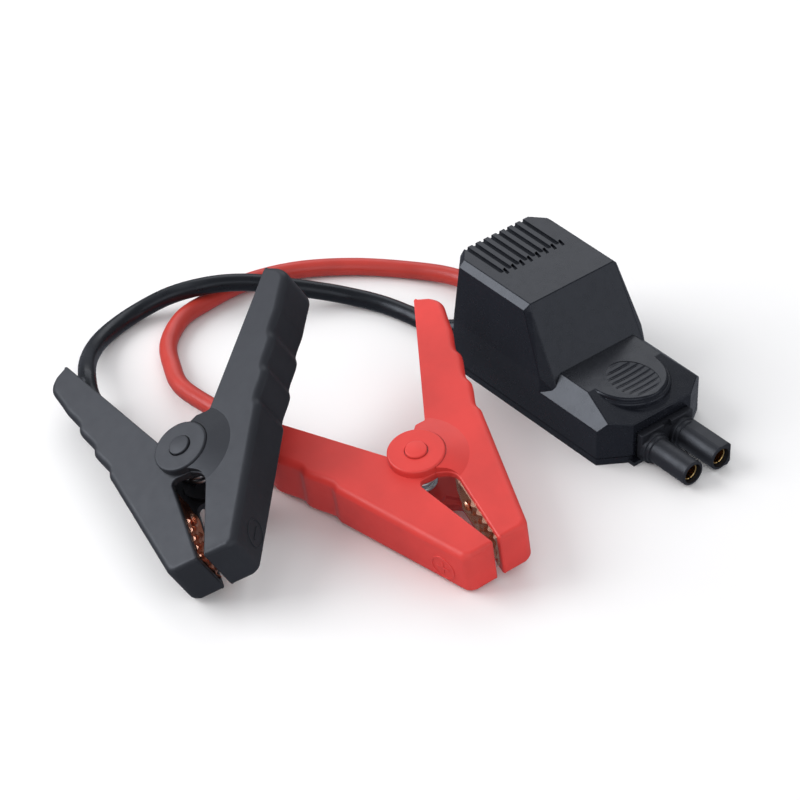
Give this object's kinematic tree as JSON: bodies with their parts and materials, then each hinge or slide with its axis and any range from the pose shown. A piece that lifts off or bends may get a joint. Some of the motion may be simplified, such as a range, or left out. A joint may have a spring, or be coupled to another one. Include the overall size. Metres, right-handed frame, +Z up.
{
  "type": "jump starter clamp lead",
  "caption": "Smart clamp lead for a jump starter: control module with a two-barrel plug, a red and a black lead, and sprung battery clamps.",
  "frame": {"origin": "centre of the control module's flat base, on the surface it rests on", "axes": "+X from the module's lead end to its plug, +Z up, +Y to the side away from the clamps"},
  "size_m": [0.1818, 0.1858, 0.0553],
  "materials": {
    "housing": "satin-gloss moulded black plastic",
    "plug": "matt black nylon",
    "clamp_black": "satin black moulded plastic",
    "clamp_red": "semi-gloss red moulded plastic",
    "lead_red": "smooth soft red cable jacket",
    "lead_black": "smooth soft black cable jacket",
    "grommet_rubber": "matt black rubber",
    "copper": "bare pressed copper",
    "brass": "gold-plated brass",
    "steel": "plain spring steel",
    "board": "green board laminate",
    "component": "black component casing"
  },
  "bodies": {
    "module": {"base_cover": "housing", "black_grommet": "grommet_rubber", "black_lead": "lead_black", "black_module_core": "copper", "buzzer": "component", "circuit_board": "board", "controller_chip": "component", "diode_block": "component", "filter_capacitor": "component", "housing_screw_1": "steel", "housing_screw_2": "steel", "housing_screw_3": "steel", "housing_screw_4": "steel", "negative_bar": "brass", "negative_socket": "brass", "plug_body": "plug", "positive_bar": "brass", "positive_socket": "brass", "red_grommet": "grommet_rubber", "red_lead": "lead_red", "red_module_core": "copper", "relay": "component", "upper_housing": "housing"},
    "red_lead_half": {"red_clamp_core": "copper", "red_crimp_ferrule": "copper", "red_handle_a": "clamp_red", "red_jaw_plate_a": "copper", "red_pin_cap_bottom": "clamp_red", "red_pin_cap_top": "clamp_red", "red_pivot_pin": "steel", "red_plate_rivet_a": "copper", "red_torsion_spring": "steel"},
    "red_free_half": {"red_handle_b": "clamp_red", "red_jaw_plate_b": "copper", "red_plate_rivet_b": "copper"},
    "black_lead_half": {"black_clamp_core": "copper", "black_crimp_ferrule": "copper", "black_handle_a": "clamp_black", "black_jaw_plate_a": "copper", "black_pin_cap_bottom": "clamp_black", "black_pin_cap_top": "clamp_black", "black_pivot_pin": "steel", "black_plate_rivet_a": "copper", "black_torsion_spring": "steel"},
    "black_free_half": {"black_handle_b": "clamp_black", "black_jaw_plate_b": "copper", "black_plate_rivet_b": "copper"}
  },
  "joints": [
    {"name": "red_lead_flex", "type": "hinge", "parent": "module", "child": "red_lead_half", "pos_m": [-0.04703, -0.10204, 0.01106], "axis": [0, 0, -1], "range_deg": [0, 4], "stiffness_Nm_per_rad": 0.05, "deforming": ["red_lead"]},
    {"name": "red_clamp_hinge", "type": "hinge", "parent": "red_lead_half", "child": "red_free_half", "pos_m": [0.0131, -0.0769, 0.01305], "axis": [0.0446, -0.1846, 0.9818], "range_deg": [0, 32], "stiffness_Nm_per_rad": 0.9, "springref_deg": -28.65, "deforming": ["red_torsion_spring"]},
    {"name": "black_lead_flex", "type": "hinge", "parent": "module", "child": "black_lead_half", "pos_m": [-0.09194, -0.12397, 0.01217], "axis": [0, 0, -1], "range_deg": [0, 12], "stiffness_Nm_per_rad": 0.05, "deforming": ["black_lead"]},
    {"name": "black_clamp_hinge", "type": "hinge", "parent": "black_lead_half", "child": "black_free_half", "pos_m": [-0.0275, -0.1303, 0.0198], "axis": [-0.15, -0.4929, 0.8571], "range_deg": [0, 32], "stiffness_Nm_per_rad": 0.9, "springref_deg": -28.65, "deforming": ["black_torsion_spring"]}
  ]
}
